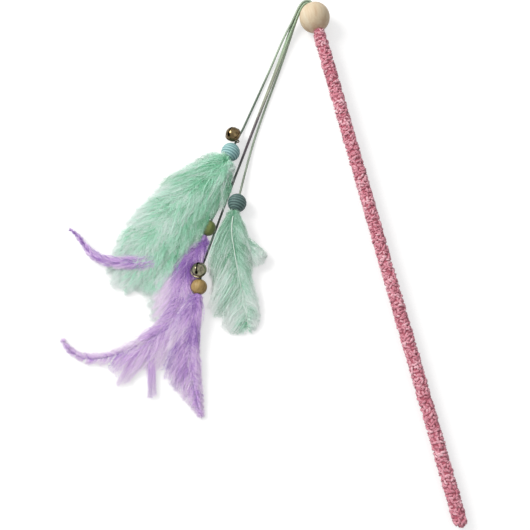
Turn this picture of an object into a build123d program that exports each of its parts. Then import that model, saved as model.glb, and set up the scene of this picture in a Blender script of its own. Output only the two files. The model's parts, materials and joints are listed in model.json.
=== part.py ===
from build123d import *
import math
import os

# Cat teaser wand lying flat: a plush-covered stick with a wooden ball at its tip, and four
# cords out of the ball's hole, each with a bead and feathers, two of them with a jingle bell.
# Millimetres. X is to the right of the wand, Y runs from its butt to its tip, and Z is up
# from the table that it lies on.

# Wand
ball_dia = 20.0
core_dia = 6.0
core_depth = 6.0
sleeve_dia = 9.0
sleeve_neck_dia = 7.6
sleeve_shoulder = 6.0
wand_span = 328.0
cord_hole_dia = 4.6
cord_hole_round = 0.6
glue_gap = 0.1
seat_gap = 0.2

# Cords
cord_dia = 1.5
strand_gap = 0.3
lie_gap = 0.05
flex_gap = 0.4
corner_share = 0.45

# Beads and bindings
ribbed_bead_dia = 12.0
plain_bead_dia = 10.0
bead_hole_dia = 2.6
bead_hole_round = 0.3
rib_count = 9
rib_depth = 0.3
binding_dia = 3.6
binding_waist_dia = 3.0
binding_length = 4.0

# Bells
bell_dia = 9.5
bell_wall = 0.5
bell_rim = 0.35
bell_rim_depth = 0.4
bell_seam = 0.1
loop_dia = 3.1
loop_wire = 0.8
loop_sink = 0.3
slot_width = 0.9
slot_length = 6.4
slot_end_dia = 1.8
pellet_dia = 3.0
pellet_gap = 0.15
bell_gap = 0.4
bell_lean_a = 30.0
bell_lean_d = 13.0

# Feathers: the length along the quill, and the width of the vane at its wider side
vane_thick = 0.8
quill_dia = 1.1
quill_layer = 1.2
quill_bare = 2.5
quill_gap = 0.4
upper_plume_length = 94.0
upper_plume_width = 12.5
middle_plume_length = 100.0
middle_plume_width = 15.0
lower_plume_length = 101.0
lower_plume_width = 15.0
vaned_length = 73.0
vaned_width = 16.0
tuft_length = 35.0
tuft_width = 6.0
hackle_length = 95.0
hackle_width = 4.4
sickle_length = 133.0
sickle_width = 18.0
fan_length = 70.0
fan_width = 18.0

# Pendants: where the cord flexes, from the ball hole's mouth, how far the pendant turns there
# from the cord's last run, and how far in plan its bead lies from there. The beads rest on the
# table. The feathers droop to a side of the pendant's heading, by an angle.
pivot_a = (-64.0, -70.6)
turn_a = -0.1
reach_a = 19.6
droop_angles_a = (-12.5, 1.4)
pivot_b = (-76.6, -113.7)
turn_b = -0.9
reach_b = 7.3
lift_b = 4.0
droop_angles_b = (22.4, 6.2)
pivot_c = (-97.8, -126.2)
turn_c = 2.5
reach_c = 6.3
lift_c = 5.0
droop_angles_c = (-28.6, 2.3)
pivot_d = (-110.0, -152.1)
turn_d = 12.0
reach_d = 15.5
droop_angles_d = (11.2, 4.9)

# Worked out from the sizes above
ball_r = ball_dia / 2
core_r = core_dia / 2
sleeve_r = sleeve_dia / 2
cord_r = cord_dia / 2
lie = cord_r + lie_gap
strand_pitch = cord_dia + strand_gap
ball_centre = Vector(0, 0, ball_r)
butt_centre = Vector(0, -wand_span, sleeve_r)
tipward = (ball_centre - butt_centre).normalized()
wand = Plane(origin=ball_centre, x_dir=(1, 0, 0), z_dir=tipward)
butt_reach = (ball_centre - butt_centre).length
mouth = ball_centre + tipward * ball_r

nodes = {}


def ring_turned(*edges):
    """The closed outline, drawn as (radius, height), turned round the height axis."""
    outline = Wire([edge.edge() for edge in edges])
    return revolve(Plane.XZ * make_face(outline), Axis.Z)


# Wooden ball, drilled from below for the stick and from above for the cords
socket_r = core_r + glue_gap
socket_floor = core_depth - ball_r
downward = (Align.CENTER, Align.CENTER, Align.MAX)
upward = (Align.CENTER, Align.CENTER, Align.MIN)
ball = Sphere(ball_r)
ball -= Pos(0, 0, socket_floor) * Cylinder(socket_r, ball_r, align=downward)
ball -= Pos(0, 0, socket_floor) * Cylinder(cord_hole_dia / 2, ball_dia, align=upward)
mouth_edge = ball.edges().filter_by(GeomType.CIRCLE).sort_by(Axis.Z)[-1]
ball = fillet(mouth_edge, cord_hole_round)
nodes["tip_ball"] = wand * ball

# Stick inside the sleeve
core_top = socket_floor - glue_gap
core = Pos(0, 0, core_top) * Cylinder(core_r, butt_reach + core_top, align=downward)
nodes["stick_core"] = wand * core

# Plush sleeve: a neck under the ball, a straight run and a rounded butt
sleeve_top = -math.sqrt(ball_r**2 - socket_r**2) - seat_gap
sleeve_full = sleeve_top - sleeve_shoulder
sleeve_floor = -butt_reach - glue_gap
nodes["plush_sleeve"] = wand * ring_turned(
    Line((socket_r, sleeve_top), (sleeve_neck_dia / 2, sleeve_top)),
    Spline(
        (sleeve_neck_dia / 2, sleeve_top),
        (sleeve_r, sleeve_full),
        tangents=[(1, -1), (0, -1)],
    ),
    Line((sleeve_r, sleeve_full), (sleeve_r, -butt_reach)),
    RadiusArc((sleeve_r, -butt_reach), (0, -butt_reach - sleeve_r), sleeve_r),
    Line((0, -butt_reach - sleeve_r), (0, sleeve_floor)),
    Line((0, sleeve_floor), (socket_r, sleeve_floor)),
    Line((socket_r, sleeve_floor), (socket_r, sleeve_top)),
)

# Cord routes. The fold is the bundle's middle line out of the hole and over to the left: plan
# points from the mouth, and heights as shares of the way from the table up to the hole.
fold_route = [
    (0, -3.2, 1.0),
    (0, 0.7, 1.0),
    (-2.2, 2.1, 0.99),
    (-5.2, 1.7, 0.9),
    (-8.7, -1.4, 0.72),
    (-12.5, -6.2, 0.48),
]
# The free runs follow it: plan points from the mouth, and heights as cords stacked on the table.
run_a = [(-22.6, -15.5, 1.1), (-38.9, -37.8, 0)]
run_b = [(-18.3, -17.0, 0.6), (-31.5, -38.0, 0), (-49.7, -65.2, 0), (-64.2, -88.8, 0.2)]
run_c = [(-19.3, -16.7, 1.7), (-32.5, -37.4, 1.1), (-56.2, -71.3, 1.1), (-80.0, -106.9, 1.2),
         (-91.5, -118.4, 2.0)]
run_d = [(-20.2, -16.2, 0.6), (-33.5, -36.6, 0), (-56.5, -70.6, 0), (-80.0, -106.2, 0)]


def fold_point(x, y, share):
    """A point of the fold, in the layout's frame."""
    return Vector(mouth.X + x, mouth.Y + y, lie + share * (mouth.Z - lie))


def run_point(x, y, layer):
    """A point of a free run, in the layout's frame."""
    return Vector(mouth.X + x, mouth.Y + y, lie + layer * strand_pitch)


def leftward(step):
    """The unit vector in plan to the left of a step."""
    return Vector(-step.Y, step.X, 0).normalized()


def beside(route, left, up):
    """The route moved to its left and up, with its corners mitred in plan."""
    moved = []
    for i, point in enumerate(route):
        before = point - route[i - 1] if i else route[1] - point
        after = route[i + 1] - point if i + 1 < len(route) else before
        mitre = (leftward(before) + leftward(after)).normalized()
        moved.append(point + mitre * (left / mitre.dot(leftward(before))) + Vector(0, 0, up))
    return moved


def tube(name, points):
    """A round cord along straight runs joined by the widest arcs that they allow."""
    steps = [b - a for a, b in zip(points, points[1:])]
    radii = []
    for before, after in zip(steps, steps[1:]):
        half_turn = math.radians(before.get_angle(after)) / 2
        radii.append(corner_share * min(before.length, after.length) / math.tan(half_turn))
    path = FilletPolyline(*points, radius=radii) if radii else Line(*points)
    cord = sweep(Plane(origin=points[0], z_dir=steps[0]) * Circle(cord_r), path=path)
    filled = cord.volume / (math.pi * cord_r**2 * path.length)
    print(name, "length", round(path.length, 1), "least radius",
          round(min(radii, default=0), 1), "volume / section x length", round(filled, 4))
    nodes[name] = cord


def plan_way(angle):
    """The unit vector in plan at an angle from X."""
    return Vector(math.cos(math.radians(angle)), math.sin(math.radians(angle)), 0)


class Pendant:
    """A straight axis from the cord's flexing point through a bead to the binding under it.

    In its frame Z runs along the axis away from the cord, X to its left and Y upward.
    """

    def __init__(self, run, pivot, height, turn, reach, bead_dia, droop):
        last = Vector(*pivot) - Vector(*run[-1][:2])
        self.heading = math.degrees(math.atan2(last.Y, last.X)) + turn
        ahead = plan_way(self.heading)
        rise = bead_dia / 2 - height
        self.frame = Plane(
            origin=Vector(mouth.X + pivot[0], mouth.Y + pivot[1], height),
            x_dir=leftward(ahead),
            z_dir=ahead * reach + Vector(0, 0, rise),
        )
        self.run = run
        self.droop = droop
        self.bead_dia = bead_dia
        self.bead_at = math.hypot(reach, rise)
        self.binding_at = self.bead_at + math.sqrt(bead_dia**2 - bead_hole_dia**2) / 2 + seat_gap
        self.binding_end = self.binding_at + binding_length


pendants = {
    "a": Pendant(run_a, pivot_a, lie, turn_a, reach_a, ribbed_bead_dia, droop_angles_a),
    "b": Pendant(run_b, pivot_b, lift_b, turn_b, reach_b, ribbed_bead_dia, droop_angles_b),
    "c": Pendant(run_c, pivot_c, lift_c, turn_c, reach_c, plain_bead_dia, droop_angles_c),
    "d": Pendant(run_d, pivot_d, lie, turn_d, reach_d, plain_bead_dia, droop_angles_d),
}

# Cords: the folds stay with the wand, and the free runs end a flexing gap short of the pendants
fold = [fold_point(*point) for point in fold_route]
half_pitch = strand_pitch / 2
places = {
    "a": (-half_pitch, half_pitch),
    "b": (half_pitch, -half_pitch),
    "c": (half_pitch, half_pitch),
    "d": (-half_pitch, -half_pitch),
}
for letter, pendant in pendants.items():
    strand = beside(fold, *places[letter])
    parting = (strand[-2] + strand[-1]) / 2
    tube("cord_neck_" + letter, strand[:-1] + [parting])
    corners = [parting, strand[-1]] + [run_point(*point) for point in pendant.run]
    pivot = pendant.frame.origin
    last = (pivot - corners[-1]).normalized()
    tube("cord_" + letter, corners + [pivot - last * flex_gap])


# Beads
def ribbed_bead():
    """A round bead with ribs turned round its hole's axis."""
    crest = ribbed_bead_dia / 2
    groove = crest - rib_depth
    hole_r = bead_hole_dia / 2
    first = math.asin(hole_r / groove)
    step = (math.pi - 2 * first) / rib_count
    hollows = [first + i * step for i in range(rib_count + 1)]
    crests = [angle + step / 2 for angle in hollows[:-1]]
    low = [(groove * math.sin(angle), groove * math.cos(angle)) for angle in hollows]
    high = [(crest * math.sin(angle), crest * math.cos(angle)) for angle in crests]
    ribs = [ThreePointArc(low[i], high[i], low[i + 1]) for i in range(rib_count)]
    return ring_turned(*ribs, Line(low[-1], low[0]))


def plain_bead():
    """A turned wooden bead with rounded hole edges."""
    bead = Sphere(plain_bead_dia / 2) - Cylinder(bead_hole_dia / 2, plain_bead_dia)
    rims = bead.edges().filter_by(GeomType.CIRCLE).sort_by(Axis.Z)
    return fillet([rims[0], rims[-1]], bead_hole_round)


# Beads on their cord ends, and the thread that binds the quills under them
for letter, pendant in pendants.items():
    bead = ribbed_bead() if letter in "ab" else plain_bead()
    nodes["bead_" + letter] = pendant.frame * Pos(0, 0, pendant.bead_at) * bead
    start, end = pendant.binding_at, pendant.binding_end
    tail = Cylinder(cord_r, start - flex_gap, align=upward)
    nodes["cord_tail_" + letter] = pendant.frame * Pos(0, 0, flex_gap) * tail
    waist = binding_waist_dia / 2
    nodes["binding_" + letter] = pendant.frame * ring_turned(
        Line((0, start), (waist, start)),
        ThreePointArc((waist, start), (binding_dia / 2, (start + end) / 2), (waist, end)),
        Line((waist, end), (0, end)),
        Line((0, end), (0, start)),
    )

# Jingle bells: two pressed shells rimmed at the seam, a loop round the cord, a slot and a pellet
bell_r = bell_dia / 2
bell_inner_r = bell_r - bell_wall
loop_reach = bell_r + loop_dia / 2 - loop_sink
pellet_seat = bell_inner_r - pellet_dia / 2 - pellet_gap


def bell_half():
    """One pressed half shell with its rim, opening downward at the seam."""
    seam = bell_seam / 2
    top = seam + bell_rim_depth
    rim_r = bell_r + bell_rim
    inner = math.sqrt(bell_inner_r**2 - seam**2)
    outer = math.sqrt(bell_r**2 - top**2)
    return ring_turned(
        Line((inner, seam), (rim_r, seam)),
        Line((rim_r, seam), (rim_r, top)),
        Line((rim_r, top), (outer, top)),
        RadiusArc((outer, top), (0, bell_r), -bell_r),
        Line((0, bell_r), (0, bell_inner_r)),
        RadiusArc((0, bell_inner_r), (inner, seam), bell_inner_r),
    )


def bell(letter, lean):
    """A bell threaded on the cord by its loop, leaning over the bead, slot upward."""
    pendant = pendants[letter]
    frame = pendant.frame
    tilt = math.radians(lean)
    outward = frame.y_dir * math.cos(tilt) - frame.x_dir * math.sin(tilt)
    apart = pendant.bead_dia / 2 + bell_gap + bell_r + bell_rim
    reach = pendant.bead_at - math.sqrt(apart**2 - loop_reach**2)
    ring_centre = frame.origin + frame.z_dir * reach
    place = Plane(origin=ring_centre + outward * loop_reach, x_dir=frame.z_dir, z_dir=outward)
    slot = Box(slot_length, slot_width, bell_r, align=upward)
    ends = [Pos(x, 0, 0) * Cylinder(slot_end_dia / 2, bell_r, align=upward)
            for x in (-slot_length / 2, slot_length / 2)]
    loop = Rot(0, 90, 0) * Torus(loop_dia / 2, loop_wire / 2)
    loop = Pos(0, 0, -loop_reach) * loop
    cap = Rot(180, 0, 0) * bell_half() + (loop - Sphere(bell_inner_r + bell_wall / 2))
    nodes["bell_cup_" + letter] = place * (bell_half() - slot - ends)
    nodes["bell_cap_" + letter] = place * cap
    nodes["bell_pellet_" + letter] = place * Pos(0, 0, -pellet_seat) * Sphere(pellet_dia / 2)
    return ring_centre, outward


loop_a, bell_up_a = bell("a", bell_lean_a)
loop_d, bell_up_d = bell("d", bell_lean_d)


# Feathers: a quill bent along tangent arcs in the feather's own plane, and a thin vane whose
# edges follow it
def along(length, bends, share):
    """The point and direction on the quill's curve at a share of its length."""
    x = y = heading = 0.0
    for part, turn in bends:
        run = min(part, max(share, 0.0)) * length
        angle = math.radians(turn) * (run / (part * length))
        chord = run if abs(angle) < 1e-9 else 2 * run / angle * math.sin(angle / 2)
        x += chord * math.cos(heading + angle / 2)
        y += chord * math.sin(heading + angle / 2)
        heading += angle
        share -= part
    return Vector(x, y), Vector(math.cos(heading), math.sin(heading))


def feather(name, letter, layer, splay, length, width, bends, left_shares, right_shares):
    """A feather from the end of a pendant's binding, layers above its axis, splayed from it.

    Half widths are shares of the width, along shares of the length.
    """
    pendant = pendants[letter]
    foot = Vector(0, layer * quill_layer, pendant.binding_end + quill_gap)
    side, angle = pendant.droop
    normal = Vector(0, 0, 1).rotate(Axis.Y, angle).rotate(Axis.Z, pendant.heading + side)
    ahead = plan_way(pendant.heading + splay)
    flat = Plane(
        origin=pendant.frame.from_local_coords(foot),
        x_dir=ahead - normal * ahead.dot(normal),
        z_dir=normal,
    )
    edges = []
    for side, shares in ((1, left_shares), (-1, right_shares)):
        edge = []
        for share, half in shares:
            point, way = along(length, bends, share)
            edge.append(point + Vector(-way.Y, way.X) * (side * half * width))
        edges.append(edge)
    bare = along(length, bends, quill_bare / length)[0]
    tip = along(length, bends, 1.0)[0]
    outline = Wire([
        Spline(bare, *edges[0], tip).edge(),
        Spline(tip, *reversed(edges[1]), bare).edge(),
    ])
    vane = extrude(make_face(outline), vane_thick / 2, both=True)
    arcs = []
    start = 0.0
    for part, turn in bends:
        a, mid, b = (along(length, bends, start + part * at)[0] for at in (0, 0.5, 1))
        arcs.append(ThreePointArc(a, mid, b) if turn else Line(a, b))
        start += part
    quill = sweep(Plane.YZ * Circle(quill_dia / 2), path=Wire([arc.edge() for arc in arcs]))
    nodes[name] = flat * (quill + vane)


plume_left_shares = [(0.06, 0.34), (0.14, 0.72), (0.3, 0.98), (0.5, 1.0), (0.68, 0.9),
                     (0.82, 0.72), (0.92, 0.5), (0.98, 0.22)]
plume_right_shares = [(0.06, 0.4), (0.14, 0.78), (0.3, 1.0), (0.48, 0.96), (0.64, 0.98),
                      (0.8, 0.74), (0.91, 0.46), (0.975, 0.2)]
middle_plume_shares = [(0.06, 0.3), (0.14, 0.52), (0.28, 0.56), (0.42, 0.42), (0.56, 0.52),
                       (0.7, 0.85), (0.84, 0.72), (0.93, 0.46), (0.98, 0.2)]
inner_plume_shares = [(0.06, 0.2), (0.2, 0.3), (0.4, 0.26), (0.55, 0.34), (0.7, 0.66),
                      (0.84, 0.7), (0.93, 0.48), (0.98, 0.22)]
feather_b_left_shares = [(0.1, 0.3), (0.22, 0.62), (0.38, 0.68), (0.52, 0.5), (0.66, 0.52),
                         (0.8, 0.66), (0.92, 0.5), (0.98, 0.2)]
feather_b_right_shares = [(0.1, 0.42), (0.22, 0.72), (0.4, 0.94), (0.54, 0.92), (0.66, 1.0),
                          (0.78, 1.06), (0.89, 0.78), (0.97, 0.3)]
tuft_shares = [(0.12, 0.3), (0.3, 0.6), (0.5, 0.7), (0.7, 0.95), (0.86, 0.9), (0.96, 0.45)]
hackle_left_shares = [(0.08, 0.4), (0.25, 0.9), (0.45, 1.0), (0.6, 0.9), (0.72, 0.7),
                      (0.85, 0.4), (0.95, 0.22)]
hackle_right_shares = [(0.08, 0.4), (0.25, 0.8), (0.45, 0.9), (0.6, 0.6), (0.72, 0.5),
                       (0.85, 0.34), (0.95, 0.2)]
sickle_left_shares = [(0.06, 0.1), (0.16, 0.12), (0.3, 0.18), (0.4, 0.4), (0.49, 0.78),
                      (0.57, 1.06), (0.66, 0.84), (0.715, 0.9), (0.745, 0.4), (0.8, 0.22),
                      (0.88, 0.12), (0.96, 0.07)]
sickle_right_shares = [(0.06, 0.16), (0.16, 0.26), (0.26, 0.34), (0.38, 0.44), (0.47, 0.26),
                       (0.58, 0.14), (0.7, 0.16), (0.82, 0.17), (0.92, 0.15), (0.975, 0.07)]
fan_left_shares = [(0.08, 0.16), (0.22, 0.3), (0.4, 0.26), (0.58, 0.22), (0.78, 0.16),
                   (0.94, 0.07)]
fan_right_shares = [(0.08, 0.2), (0.22, 0.42), (0.38, 0.66), (0.52, 0.92), (0.62, 1.0),
                    (0.74, 0.76), (0.86, 0.44), (0.95, 0.16)]

feather("feather_a1", "a", 1, -25.5, upper_plume_length, upper_plume_width,
        [(0.5, 3.0), (0.5, 5.0)], plume_left_shares, plume_right_shares)
feather("feather_a2", "a", 0, -16.5, middle_plume_length, middle_plume_width,
        [(0.6, 2.0), (0.4, 4.0)], middle_plume_shares, plume_right_shares)
feather("feather_a3", "a", -1, -8.5, lower_plume_length, lower_plume_width,
        [(0.5, 2.0), (0.5, 12.0)], inner_plume_shares, plume_right_shares)
feather("feather_b1", "b", 0.5, 1.4, vaned_length, vaned_width,
        [(0.2, 21.0), (0.5, 3.0), (0.3, -6.0)], feather_b_left_shares, feather_b_right_shares)
feather("feather_b2", "b", -0.5, 19.4, tuft_length, tuft_width,
        [(0.4, 30.0), (0.6, 28.0)], tuft_shares, tuft_shares)
feather("feather_c1", "c", -0.5, -39.6, hackle_length, hackle_width,
        [(0.33, -13.0), (0.3, -22.0), (0.22, -54.0), (0.15, 25.0)],
        hackle_left_shares, hackle_right_shares)
feather("feather_c2", "c", 0.5, -19.6, sickle_length, sickle_width,
        [(0.14, 26.0), (0.16, 12.0), (0.1, -40.0), (0.3, -27.0), (0.1, -13.0), (0.2, -73.0)],
        sickle_left_shares, sickle_right_shares)
feather("feather_d1", "d", 0, -3.8, fan_length, fan_width,
        [(0.5, 12.0), (0.5, 19.0)], fan_left_shares, fan_right_shares)

# The origin: the middle of the footprint of everything but the cords, on the table
solid_parts = [shape for name, shape in nodes.items() if not name.startswith("cord_")]
bounds = Compound(children=[Compound(part.solids()) for part in solid_parts]).bounding_box()
shift = Vector(-bounds.center().X, -bounds.center().Y, 0)

os.makedirs("parts", exist_ok=True)
for name, shape in nodes.items():
    export_step(Pos(shift) * Compound(shape.solids()), "parts/" + name + ".step")

# Where the joints and the grip lie, in millimetres, and the ways that they face
landmarks = {
    "ball hole mouth": mouth,
    "loop a": loop_a,
    "loop d": loop_d,
    "sleeve middle": ball_centre + tipward * ((sleeve_full - butt_reach) / 2),
}
directions = {"wand axis": tipward, "bell a up": bell_up_a, "bell d up": bell_up_d}
for letter, pendant in pendants.items():
    landmarks["pivot " + letter] = pendant.frame.origin
    directions["axis " + letter] = pendant.frame.z_dir
for name, point in landmarks.items():
    print(name, [round(c, 3) for c in (point + shift)])
for name, way in directions.items():
    print(name, [round(c, 5) for c in way])
print("straight sleeve", round(sleeve_full + butt_reach, 3), "pellet travel", 2 * pellet_seat)
print("footprint", [round(c, 2) for c in bounds.size])
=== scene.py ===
import json
import math
from collections import namedtuple

import bpy
import numpy as np
from mathutils import Matrix, Vector


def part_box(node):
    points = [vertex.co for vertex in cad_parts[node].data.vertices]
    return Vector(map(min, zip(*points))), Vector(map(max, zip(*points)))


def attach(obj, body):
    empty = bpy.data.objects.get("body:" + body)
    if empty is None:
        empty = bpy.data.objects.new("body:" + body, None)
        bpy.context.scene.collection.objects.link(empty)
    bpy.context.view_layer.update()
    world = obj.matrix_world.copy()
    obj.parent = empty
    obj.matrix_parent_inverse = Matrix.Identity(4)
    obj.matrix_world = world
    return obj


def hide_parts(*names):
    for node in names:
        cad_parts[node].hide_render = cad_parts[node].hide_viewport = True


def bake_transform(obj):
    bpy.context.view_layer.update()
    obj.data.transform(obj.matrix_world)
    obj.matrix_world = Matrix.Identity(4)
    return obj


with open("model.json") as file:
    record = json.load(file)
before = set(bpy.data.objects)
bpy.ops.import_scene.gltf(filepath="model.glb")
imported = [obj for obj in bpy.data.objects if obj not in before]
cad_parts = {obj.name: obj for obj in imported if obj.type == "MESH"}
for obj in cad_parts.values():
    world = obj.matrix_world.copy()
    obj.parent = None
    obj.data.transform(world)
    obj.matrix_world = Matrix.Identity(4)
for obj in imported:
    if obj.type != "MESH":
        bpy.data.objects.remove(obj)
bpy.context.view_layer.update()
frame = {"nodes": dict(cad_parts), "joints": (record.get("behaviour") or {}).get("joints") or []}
nodes = frame["nodes"]
joints = {joint["name"]: joint for joint in frame["joints"]}

# Lengths here are millimetres in the part's frame. Blender gets metres.
M = 0.001
UP = np.array([0.0, 0.0, 1.0])
TURN = 2 * math.pi
UV = "OFBake"


def unit(v):
    v = np.asarray(v, float)
    return v / np.maximum(np.linalg.norm(v, axis=-1, keepdims=True), 1e-12)


def swept(angle, a, b):
    """Directions turned by angles from a towards b."""
    return np.cos(angle)[..., None] * a + np.sin(angle)[..., None] * b


def middle(node):
    low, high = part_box(node)
    return np.array((low + high) / 2) / M


# Sizes and places of the CAD pieces that the scene's own pieces meet
ball_r = 10.0
bead_r = {"a": 6, "b": 6, "c": 5, "d": 5}
bead_hole_r = 1.3
rib_count, rib_depth = 9, 0.3
wand_span, wand_drop = 328.0, 5.5
tipward = unit([0, wand_span, wand_drop])
mouth = np.array(joints["lure_swing"]["pos_m"]) / M
below_mouth = mouth * [1, 1, 0]
ball = mouth - tipward * ball_r
pivots = {k: np.array(joints[f"pendant_{k}_swing"]["pos_m"]) / M for k in "abcd"}
axes = {k: unit(joints[f"bead_{k}_spin"]["axis"]) for k in "abcd"}
beads = {k: middle("bead_" + k) for k in "abcd"}
bell_d = (middle("bell_cup_d") + middle("bell_cap_d")) / 2


def bead_face(key):
    """How far from a bead's centre its hole opens."""
    return math.sqrt(bead_r[key] ** 2 - bead_hole_r**2)


# Materials
def srgb(r, g, b):
    """An 8-bit screen colour as a linear one."""
    channels = [c / 255 for c in (r, g, b)]
    linear = [c / 12.92 if c <= 0.04045 else ((c + 0.055) / 1.055) ** 2.4 for c in channels]
    return (*linear, 1.0)


class Nodes:
    """Short calls for the nodes of a material or a world."""

    def __init__(self, owner):
        owner.use_nodes = True
        self.tree = owner.node_tree

    def node(self, kind, feeds=None, **settings):
        """A new node with its settings, its inputs fed from values or sockets."""
        made = self.tree.nodes.new("ShaderNode" + kind)
        for key, value in settings.items():
            setattr(made, key, value)
        for socket, value in (feeds or {}).items():
            self.feed(made.inputs[socket], value)
        return made

    def feed(self, socket, value):
        if isinstance(value, bpy.types.NodeSocket):
            self.tree.links.new(value, socket)
        else:
            socket.default_value = value

    def maths(self, operation, a, b=0.0):
        return self.node("Math", {0: a, 1: b}, operation=operation).outputs[0]

    def vector(self, operation, a, b=(0, 0, 0)):
        made = self.node("VectorMath", {0: a, 1: b}, operation=operation)
        return made.outputs["Value" if operation in ("DOT_PRODUCT", "LENGTH") else "Vector"]

    def shown(self, strength):
        """A strength, raised to 1 for camera, glossy and transmission rays."""
        rays = self.node("LightPath").outputs
        for kind in ("Is Camera Ray", "Is Glossy Ray", "Is Transmission Ray"):
            strength = self.maths("MAXIMUM", strength, rays[kind])
        return strength


class Shader(Nodes):
    """A Principled material and the nodes in front of it."""

    def __init__(self, name, **sockets):
        self.material = bpy.data.materials.new(name)
        super().__init__(self.material)
        self.bsdf = self.tree.nodes["Principled BSDF"]
        for socket, value in sockets.items():
            self.bsdf.inputs[socket.replace("_", " ")].default_value = value

    def place(self):
        return self.node("TexCoord").outputs["Object"]

    def noise(self, at, scale, detail=3.0, rough=0.5):
        feeds = {"Vector": at, "Scale": scale, "Detail": detail, "Roughness": rough}
        return self.node("TexNoise", feeds).outputs["Fac"]

    def ramp(self, value, *stops):
        made = self.node("ValToRGB", {"Fac": value})
        points = made.color_ramp.elements
        while len(points) < len(stops):
            points.new(0.5)
        for point, (place, colour) in zip(points, stops):
            point.position = place
            point.color = colour
        return made.outputs["Color"]

    def level(self, value, *stops):
        return self.ramp(value, *[(place, (x, x, x, 1.0)) for place, x in stops])

    def mix(self, share, a, b):
        return self.node("Mix", {0: share, 6: a, 7: b}, data_type="RGBA").outputs[2]

    def bump(self, height, strength, distance):
        feeds = {"Height": height, "Strength": strength, "Distance": distance}
        self.feed(self.bsdf.inputs["Normal"], self.node("Bump", feeds).outputs[0])

    def base(self, colour):
        self.feed(self.bsdf.inputs["Base Color"], colour)

    def rough(self, value):
        self.feed(self.bsdf.inputs["Roughness"], value)

    def strand_map(self):
        """A strand's own shade, and the share of the way from its root to its tip."""
        spot = self.node("UVMap", uv_map=UV).outputs["UV"]
        parts = self.node("SeparateXYZ", {0: spot})
        return parts.outputs["X"], parts.outputs["Y"]


def feather_material(name, root, full, tip, deep, pale):
    """Dyed barbs, paler towards their tips, some darker and some paler than the rest."""
    s = Shader(name, Roughness=0.85, Sheen_Weight=0.5, Sheen_Roughness=0.5,
               Specular_IOR_Level=0.15)
    shade, way = s.strand_map()
    between = tuple((x + y) / 2 for x, y in zip(full, tip))
    along = s.ramp(way, (0, root), (0.4, full), (0.75, between), (1, tip))
    darker = s.mix(s.level(shade, (0, 0.9), (0.5, 0)), along, deep)
    s.base(s.mix(s.level(shade, (0.5, 0), (1, 0.85)), darker, pale))
    return s.material


def quill_material(name, root, tip):
    s = Shader(name, Roughness=0.42, Specular_IOR_Level=0.5)
    _, way = s.strand_map()
    s.base(s.ramp(way, (0, root), (1, tip)))
    s.bump(s.noise(s.place(), 1500), 0.2, 0.0002)
    return s.material


def yarn_material(name, dark, deep, full, pale):
    """Dyed yarn, with painted shade where a loop goes down into the pile."""
    s = Shader(name, Roughness=0.85, Sheen_Weight=0.5, Sheen_Roughness=0.4,
               Specular_IOR_Level=0.2)
    shade, way = s.strand_map()
    dyed = s.ramp(shade, (0, deep), (0.5, full), (1, pale))
    # The dark colour near both ends of a loop is painted shade down in the pile.
    painted_pile_shade = s.level(way, (0, 0.9), (0.3, 0.1), (0.5, 0), (0.7, 0.1), (1, 0.9))
    s.base(s.mix(painted_pile_shade, dyed, dark))
    s.bump(s.noise(s.place(), 4200, 2), 0.35, 0.00015)
    return s.material


def wood_material(name, pale, full, dark, along, coarse, gloss):
    """Turned wood with its grain stretched along one direction."""
    s = Shader(name, Specular_IOR_Level=0.35)
    at = s.place()
    run = s.vector("DOT_PRODUCT", at, tuple(along))
    back = {0: tuple(along), "Scale": s.maths("MULTIPLY", run, -0.9)}
    scaled = s.node("VectorMath", back, operation="SCALE")
    squeezed = s.vector("ADD", at, scaled.outputs["Vector"])
    rings = s.noise(squeezed, coarse, 4, 0.6)
    fine = s.noise(squeezed, coarse * 7, 3, 0.65)
    pores = s.noise(squeezed, coarse * 26, 2, 0.5)
    body = s.ramp(rings, (0.3, pale), (0.52, full), (0.72, dark))
    lined = s.mix(s.level(fine, (0.45, 0), (0.75, 0.45)), body, dark)
    s.base(s.mix(s.level(pores, (0.6, 0), (0.78, 0.35)), lined, dark))
    s.rough(s.level(fine, (0.2, gloss - 0.08), (0.8, gloss + 0.1)))
    s.bump(s.mix(0.5, fine, pores), 0.25, 0.00012)
    return s.material


def painted_rib_material(name, key, groove_painted_shade, full, crest, worn):
    """Satin paint on a ribbed bead: painted shade down in the grooves, rubbed pale on the ribs."""
    s = Shader(name, Specular_IOR_Level=0.4)
    at = s.place()
    off = s.vector("SUBTRACT", at, tuple(beads[key] * M))
    reach = s.maths("DIVIDE", s.vector("DOT_PRODUCT", off, tuple(axes[key])),
                    s.vector("LENGTH", off))
    angle = s.maths("ARCCOSINE", reach)
    first = math.asin(bead_hole_r / (bead_r[key] - rib_depth))
    step = (math.pi - 2 * first) / rib_count
    wave = s.maths("COSINE", s.maths("MULTIPLY", s.maths("SUBTRACT", angle, first), TURN / step))
    depth = s.maths("ADD", s.maths("MULTIPLY", wave, 0.5), 0.5)
    blotch = s.noise(at, 420, 4, 0.6)
    fibre = s.noise(at, 2600, 3, 0.6)
    paint = s.mix(s.level(blotch, (0.35, 0), (0.7, 0.5)), full, crest)
    # The groove colour, mixed in by rib depth, is painted shade in the grooves.
    lined = s.mix(s.level(depth, (0.35, 0), (0.85, 0.9)), paint, groove_painted_shade)
    rub = s.maths("MULTIPLY", s.level(depth, (0, 1), (0.22, 0)),
                  s.level(fibre, (0.5, 0), (0.72, 0.8)))
    s.base(s.mix(rub, lined, worn))
    s.rough(s.level(fibre, (0.2, 0.42), (0.8, 0.62)))
    s.bump(fibre, 0.3, 0.00012)
    return s.material


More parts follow.
